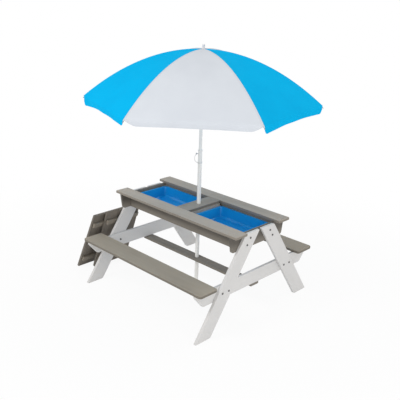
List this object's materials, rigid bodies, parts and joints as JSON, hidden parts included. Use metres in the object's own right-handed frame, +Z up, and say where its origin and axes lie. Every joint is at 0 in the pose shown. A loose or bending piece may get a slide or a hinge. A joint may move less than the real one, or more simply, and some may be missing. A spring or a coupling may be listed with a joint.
{
  "type": "kids garden table and benches",
  "caption": "Child's picnic table with fixed benches on splayed legs, two lift-out bins under loose plank lids and a folding sunshade on a pole through the top.",
  "frame": {"origin": "on the ground, at the middle of the pole's foot cap, under the centre of the table", "axes": "+Z up along the pole, X along the table and its benches, -Y towards the front bench"},
  "size_m": [1.2704, 1.2426, 1.3783],
  "materials": {
    "grey_wood": "warm grey stain, matt",
    "white_wood": "white paint, satin",
    "lid_wood": "grey brown stain, matt",
    "bin_plastic": "moulded, glossy",
    "pole_plastic": "moulded, satin",
    "pole_steel": "powder coated, satin",
    "pin_steel": "zinc plated",
    "blue_fabric": "woven polyester",
    "white_fabric": "woven polyester"
  },
  "bodies": {
    "table": {"front_top_board": "grey_wood", "back_top_board": "grey_wood", "centre_board": "grey_wood", "left_end_apron": "grey_wood", "right_end_apron": "grey_wood", "front_apron": "grey_wood", "back_apron": "grey_wood", "front_ledger": "lid_wood", "back_ledger": "lid_wood", "left_joist": "lid_wood", "right_joist": "lid_wood", "left_front_leg": "white_wood", "left_back_leg": "white_wood", "right_front_leg": "white_wood", "right_back_leg": "white_wood", "left_crossbeam": "white_wood", "right_crossbeam": "white_wood", "front_bench": "grey_wood", "back_bench": "grey_wood", "stretcher_board": "grey_wood"},
    "left_bin": {"left_bin": "bin_plastic"},
    "right_bin": {"right_bin": "bin_plastic"},
    "inner_lid": {"inner_lid_plank_1": "lid_wood", "inner_lid_plank_2": "lid_wood", "inner_lid_plank_3": "lid_wood", "inner_lid_lower_batten": "lid_wood", "inner_lid_upper_batten": "lid_wood"},
    "outer_lid": {"outer_lid_plank_1": "lid_wood", "outer_lid_plank_2": "lid_wood", "outer_lid_plank_3": "lid_wood", "outer_lid_lower_batten": "lid_wood", "outer_lid_upper_batten": "lid_wood"},
    "umbrella_foot": {"pole_foot_cap": "pole_plastic"},
    "lower_pole": {"lower_pole": "pole_steel", "pole_collar": "pole_plastic", "pin_tether": "pin_steel"},
    "height_pin": {"height_pin": "pin_steel"},
    "upper_pole": {"upper_pole": "pole_steel", "top_hub": "pole_plastic", "finial": "pole_plastic", "canopy_gore_1": "white_fabric", "canopy_gore_2": "blue_fabric", "canopy_gore_3": "white_fabric", "canopy_gore_4": "blue_fabric", "canopy_gore_5": "white_fabric", "canopy_gore_6": "blue_fabric"},
    "runner": {"runner": "pole_plastic"},
    "rib_1": {"rib_1": "pole_steel"},
    "rib_2": {"rib_2": "pole_steel"},
    "rib_3": {"rib_3": "pole_steel"},
    "rib_4": {"rib_4": "pole_steel"},
    "rib_5": {"rib_5": "pole_steel"},
    "rib_6": {"rib_6": "pole_steel"},
    "strut_1": {"strut_1": "pole_steel"},
    "strut_2": {"strut_2": "pole_steel"},
    "strut_3": {"strut_3": "pole_steel"},
    "strut_4": {"strut_4": "pole_steel"},
    "strut_5": {"strut_5": "pole_steel"},
    "strut_6": {"strut_6": "pole_steel"}
  },
  "joints": [
    {"name": "left_bin_lift", "type": "slide", "parent": "table", "child": "left_bin", "axis": [0, 0, 1], "range_m": [0, 0.12]},
    {"name": "right_bin_lift", "type": "slide", "parent": "table", "child": "right_bin", "axis": [0, 0, 1], "range_m": [0, 0.12]},
    {"name": "inner_lid_lift", "type": "slide", "parent": "table", "child": "inner_lid", "axis": [-0.6, 0, 0.8], "range_m": [0, 0.3]},
    {"name": "outer_lid_lift", "type": "slide", "parent": "inner_lid", "child": "outer_lid", "axis": [-0.8, 0, 0.6], "range_m": [0, 0.3]},
    {"name": "umbrella_lift", "type": "slide", "parent": "table", "child": "umbrella_foot", "axis": [0, 0, 1], "range_m": [0, 0.53]},
    {"name": "umbrella_turn", "type": "hinge", "parent": "umbrella_foot", "child": "lower_pole", "pos_m": [0, 0, 0], "axis": [0, 0, 1], "continuous": true},
    {"name": "pin_pull", "type": "slide", "parent": "lower_pole", "child": "height_pin", "axis": [-0.7071, -0.7071, 0], "range_m": [0, 0.02]},
    {"name": "height_adjust", "type": "slide", "parent": "lower_pole", "child": "upper_pole", "axis": [0, 0, 1], "range_m": [-0.2, 0.05]},
    {"name": "canopy_fold", "type": "slide", "parent": "upper_pole", "child": "runner", "axis": [0, 0, -1], "range_m": [0, 0.305]},
    {"name": "rib_1_fold", "type": "hinge", "parent": "upper_pole", "child": "rib_1", "pos_m": [0.00228, -0.01229, 1.336], "axis": [0.9833, 0.1822, 0], "range_deg": [0, 60.5]},
    {"name": "rib_2_fold", "type": "hinge", "parent": "upper_pole", "child": "rib_2", "pos_m": [0.01178, -0.00417, 1.336], "axis": [0.3338, 0.9426, 0], "range_deg": [0, 60.5]},
    {"name": "rib_3_fold", "type": "hinge", "parent": "upper_pole", "child": "rib_3", "pos_m": [0.0095, 0.00812, 1.336], "axis": [-0.6494, 0.7604, 0], "range_deg": [0, 60.5]},
    {"name": "rib_4_fold", "type": "hinge", "parent": "upper_pole", "child": "rib_4", "pos_m": [-0.00228, 0.01229, 1.336], "axis": [-0.9833, -0.1822, 0], "range_deg": [0, 60.5]},
    {"name": "rib_5_fold", "type": "hinge", "parent": "upper_pole", "child": "rib_5", "pos_m": [-0.01178, 0.00417, 1.336], "axis": [-0.3338, -0.9426, 0], "range_deg": [0, 60.5]},
    {"name": "rib_6_fold", "type": "hinge", "parent": "upper_pole", "child": "rib_6", "pos_m": [-0.0095, -0.00812, 1.336], "axis": [0.6494, -0.7604, 0], "range_deg": [0, 60.5]},
    {"name": "strut_1_fold", "type": "hinge", "parent": "runner", "child": "strut_1", "pos_m": [0.00228, -0.01229, 1.186], "axis": [-0.9833, -0.1822, 0], "range_deg": [0, 43]},
    {"name": "strut_2_fold", "type": "hinge", "parent": "runner", "child": "strut_2", "pos_m": [0.01178, -0.00417, 1.186], "axis": [-0.3338, -0.9426, 0], "range_deg": [0, 43]},
    {"name": "strut_3_fold", "type": "hinge", "parent": "runner", "child": "strut_3", "pos_m": [0.0095, 0.00812, 1.186], "axis": [0.6494, -0.7604, 0], "range_deg": [0, 43]},
    {"name": "strut_4_fold", "type": "hinge", "parent": "runner", "child": "strut_4", "pos_m": [-0.00228, 0.01229, 1.186], "axis": [0.9833, 0.1822, 0], "range_deg": [0, 43]},
    {"name": "strut_5_fold", "type": "hinge", "parent": "runner", "child": "strut_5", "pos_m": [-0.01178, 0.00417, 1.186], "axis": [0.3338, 0.9426, 0], "range_deg": [0, 43]},
    {"name": "strut_6_fold", "type": "hinge", "parent": "runner", "child": "strut_6", "pos_m": [-0.0095, -0.00812, 1.186], "axis": [-0.6494, 0.7604, 0], "range_deg": [0, 43]}
  ],
  "couplings": [
    {"joint": "rib_1_fold", "follows": "canopy_fold", "rad_per_m": 3.4309},
    {"joint": "rib_2_fold", "follows": "canopy_fold", "rad_per_m": 3.4309},
    {"joint": "rib_3_fold", "follows": "canopy_fold", "rad_per_m": 3.4309},
    {"joint": "rib_4_fold", "follows": "canopy_fold", "rad_per_m": 3.4309},
    {"joint": "rib_5_fold", "follows": "canopy_fold", "rad_per_m": 3.4309},
    {"joint": "rib_6_fold", "follows": "canopy_fold", "rad_per_m": 3.4309},
    {"joint": "strut_1_fold", "follows": "canopy_fold", "rad_per_m": 2.4396},
    {"joint": "strut_2_fold", "follows": "canopy_fold", "rad_per_m": 2.4396},
    {"joint": "strut_3_fold", "follows": "canopy_fold", "rad_per_m": 2.4396},
    {"joint": "strut_4_fold", "follows": "canopy_fold", "rad_per_m": 2.4396},
    {"joint": "strut_5_fold", "follows": "canopy_fold", "rad_per_m": 2.4396},
    {"joint": "strut_6_fold", "follows": "canopy_fold", "rad_per_m": 2.4396}
  ]
}
